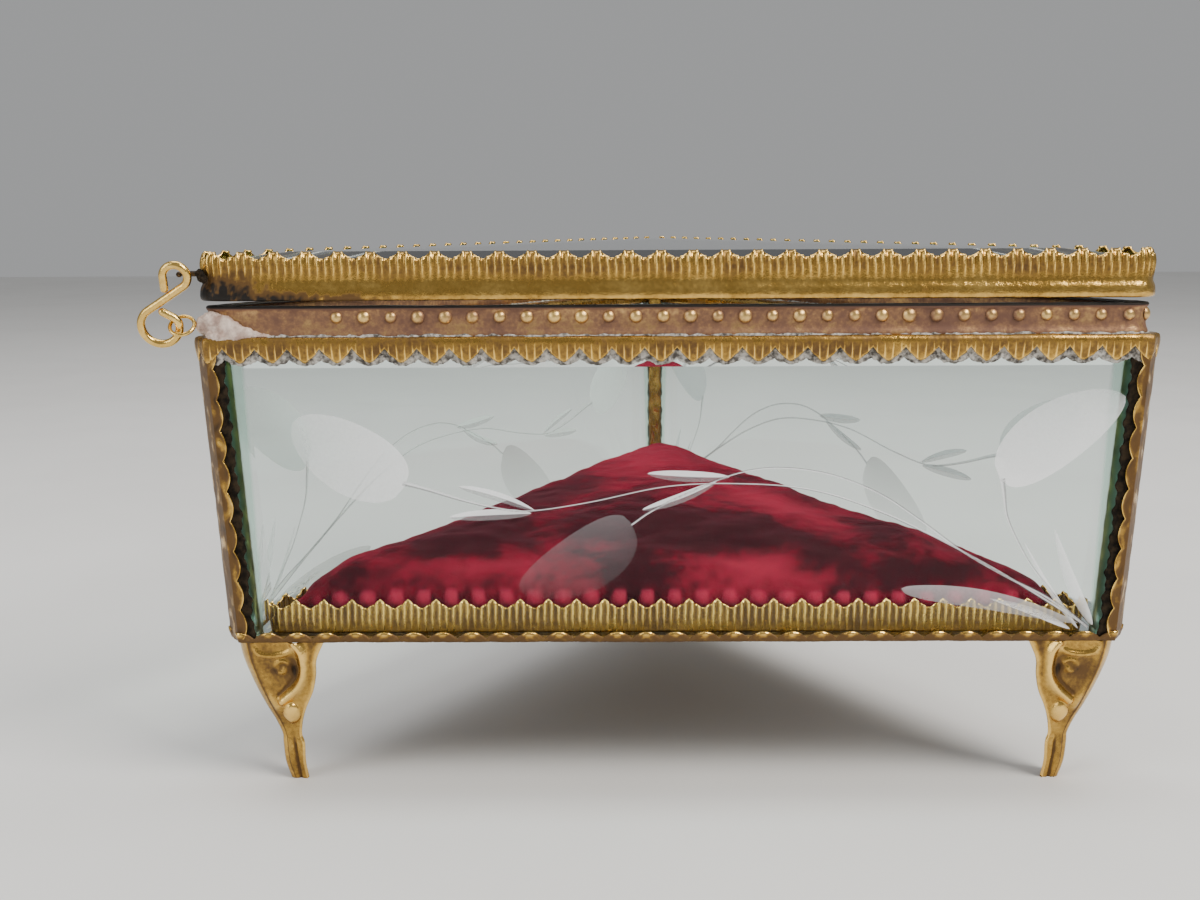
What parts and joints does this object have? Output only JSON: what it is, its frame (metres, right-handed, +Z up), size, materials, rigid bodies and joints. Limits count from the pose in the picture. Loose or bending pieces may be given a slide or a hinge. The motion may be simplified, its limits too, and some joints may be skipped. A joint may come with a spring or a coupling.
{
  "type": "glass casket box",
  "caption": "Triangular display casket of bevelled glass in stamped brass strips, with a hinged glass lid, wire hook latch, velvet pad and folded feet.",
  "frame": {"origin": "middle of the triangular plan, on the surface that the feet stand on", "axes": "+X to the right along the front panel, +Y to the back corner, +Z up"},
  "size_m": [0.1603, 0.1342, 0.0882],
  "materials": {
    "clear_glass": "bevelled soda-lime plate with a faint green edge and ground flower cutting",
    "gilt_brass": "thin stamped sheet, worn gilding with brown tarnish in the hollows",
    "pink_brass": "stamped strip with a copper-pink tarnish",
    "dark_brass": "unpolished brass, brown with age",
    "hook_brass": "smooth bright drawn wire",
    "solder": "dull grey soft solder",
    "cardboard": "plain paper board",
    "velvet": "crimson velvet, crushed and worn"
  },
  "bodies": {
    "casket": {"front_glass": "clear_glass", "right_glass": "clear_glass", "left_glass": "clear_glass", "corner_post_back": "gilt_brass", "corner_post_left": "gilt_brass", "corner_post_right": "gilt_brass", "top_rail_front": "gilt_brass", "top_rail_right": "gilt_brass", "top_rail_left": "gilt_brass", "bottom_rail_front": "gilt_brass", "bottom_rail_right": "gilt_brass", "bottom_rail_left": "gilt_brass", "rim_band": "pink_brass", "base_plate": "dark_brass", "base_band": "gilt_brass", "pad_board": "cardboard", "cushion": "velvet", "leg_back": "gilt_brass", "leg_left": "gilt_brass", "leg_right": "gilt_brass", "hinge_body_leaf": "dark_brass", "hinge_pin": "dark_brass", "latch_eye": "gilt_brass", "latch_solder": "solder"},
    "lid": {"lid_glass": "clear_glass", "lid_band": "gilt_brass", "lid_ledge": "dark_brass", "hinge_lid_leaf": "dark_brass", "lid_catch": "dark_brass"},
    "latch": {"latch_hook": "hook_brass"}
  },
  "joints": [
    {"name": "lid_hinge", "type": "hinge", "parent": "casket", "child": "lid", "pos_m": [0.04062, 0.02345, 0.08015], "axis": [-0.5, 0.866, 0], "range_deg": [0, 105]},
    {"name": "latch_swing", "type": "hinge", "parent": "casket", "child": "latch", "pos_m": [-0.0777, -0.0443, 0.0768], "axis": [1, 0, 0], "range_deg": [-10, 64]}
  ]
}
